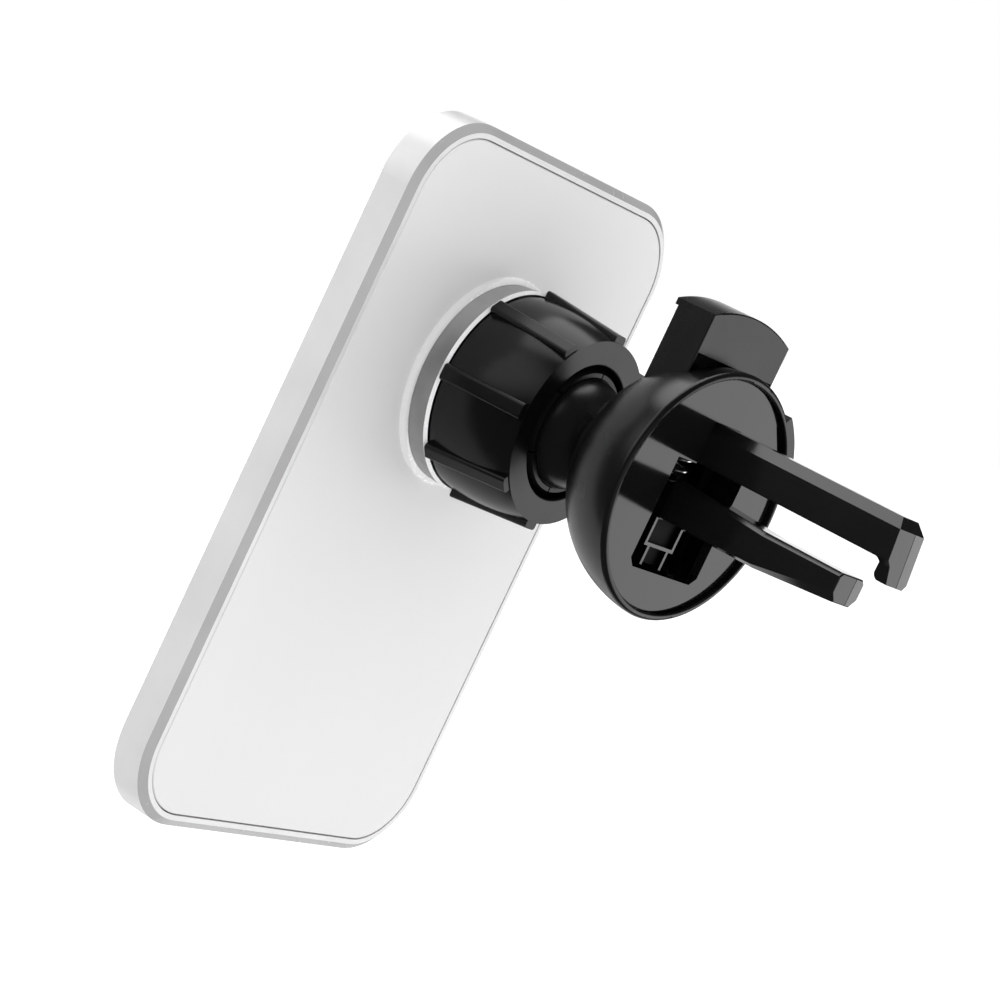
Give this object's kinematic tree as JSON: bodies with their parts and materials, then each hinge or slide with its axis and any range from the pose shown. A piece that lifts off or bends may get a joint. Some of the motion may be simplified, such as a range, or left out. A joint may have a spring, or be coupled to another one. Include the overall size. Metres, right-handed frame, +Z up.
{
  "type": "car phone mount",
  "caption": "Magnetic phone holder plate on a lockable ball joint, carried by a sprung two-jaw clip that grips a slat of a car's air vent.",
  "frame": {"origin": "centre of the vent clip's round face, on the clip's axis, where the rim meets the slats", "axes": "+Y out of the clip's face into the vent, along the jaws; +Z up, towards the push button; +X to the right of someone who faces the phone side of the plate"},
  "size_m": [0.0708, 0.0904, 0.1123],
  "materials": {
    "housing_black": "satin black moulded plastic",
    "cover_black": "polished black moulded plastic",
    "jaw_black": "semi-gloss black moulded plastic",
    "zinc_steel": "zinc-plated steel",
    "ball_black": "smooth black moulded plastic",
    "inner_black": "plain black moulded plastic",
    "spring_steel": "bright spring wire",
    "button_black": "satin black moulded plastic",
    "pad_rubber": "firm friction rubber",
    "liner_nylon": "self-lubricating black nylon",
    "ring_nylon": "glass-filled black nylon",
    "nut_black": "satin black moulded plastic",
    "socket_black": "satin black moulded plastic",
    "ring_steel": "brushed round, with a bright front chamfer",
    "frame_silver": "silver anodised, satin sides and polished bevels",
    "panel_white": "pale grey-white, soft sheen",
    "yoke_steel": "plain steel sheet",
    "tray_grey": "plain grey moulded plastic",
    "magnet_nickel": "nickel-plated magnets",
    "pad_grey": "soft dark grey silicone"
  },
  "bodies": {
    "vent_clip": {"clip_housing": "housing_black", "clip_cover": "cover_black", "fixed_jaw": "jaw_black", "jaw_screw_left": "zinc_steel", "jaw_screw_right": "zinc_steel", "ball_stud": "ball_black", "stud_washer": "zinc_steel", "stud_nut": "zinc_steel", "guide_frame": "inner_black", "frame_screw_left": "zinc_steel", "frame_screw_right": "zinc_steel", "return_spring": "spring_steel"},
    "jaw_slider": {"slider": "inner_black", "moving_jaw": "jaw_black", "jaw_pin": "zinc_steel", "push_button": "button_black"},
    "friction_pad": {"friction_pad": "pad_rubber"},
    "liner_ring": {"liner_ring": "liner_nylon"},
    "holder": {"ball_socket": "socket_black", "mount_ring": "ring_steel", "bezel_frame": "frame_silver", "back_panel": "panel_white", "yoke_plate": "yoke_steel", "magnet_tray": "tray_grey", "magnet_ring": "magnet_nickel", "front_pad": "pad_grey", "socket_screw_1": "zinc_steel", "socket_screw_2": "zinc_steel", "socket_screw_3": "zinc_steel", "socket_screw_4": "zinc_steel", "tray_screw_1": "zinc_steel", "tray_screw_2": "zinc_steel", "tray_screw_3": "zinc_steel", "tray_screw_4": "zinc_steel"},
    "clamp_ring": {"clamp_ring": "ring_nylon"},
    "lock_nut": {"lock_nut": "nut_black"}
  },
  "joints": [
    {"name": "button_slide", "type": "slide", "parent": "vent_clip", "child": "jaw_slider", "axis": [0, 0, -1], "range_m": [0, 0.0044], "stiffness_N_per_m": 1500, "springref_m": -0.004, "deforming": ["return_spring"]},
    {"name": "swivel_pitch", "type": "hinge", "parent": "vent_clip", "child": "friction_pad", "pos_m": [0, -0.027, 0], "axis": [1, 0, 0], "range_deg": [-25, 25]},
    {"name": "swivel_yaw", "type": "hinge", "parent": "friction_pad", "child": "liner_ring", "pos_m": [0, -0.027, 0], "axis": [0, 0, 1], "range_deg": [-30.8, 19.2]},
    {"name": "swivel_roll", "type": "hinge", "parent": "liner_ring", "child": "holder", "pos_m": [0, -0.027, 0], "axis": [-0.1011, 0.9949, 0], "continuous": true},
    {"name": "nut_slide", "type": "slide", "parent": "holder", "child": "clamp_ring", "axis": [-0.1011, 0.9949, 0], "range_m": [0, 0.00113]},
    {"name": "nut_turn", "type": "hinge", "parent": "clamp_ring", "child": "lock_nut", "pos_m": [0, -0.027, 0], "axis": [-0.1011, 0.9949, 0], "range_deg": [0, 270]}
  ],
  "couplings": [
    {"joint": "nut_slide", "follows": "nut_turn", "m_per_rad": 0.00023873}
  ]
}
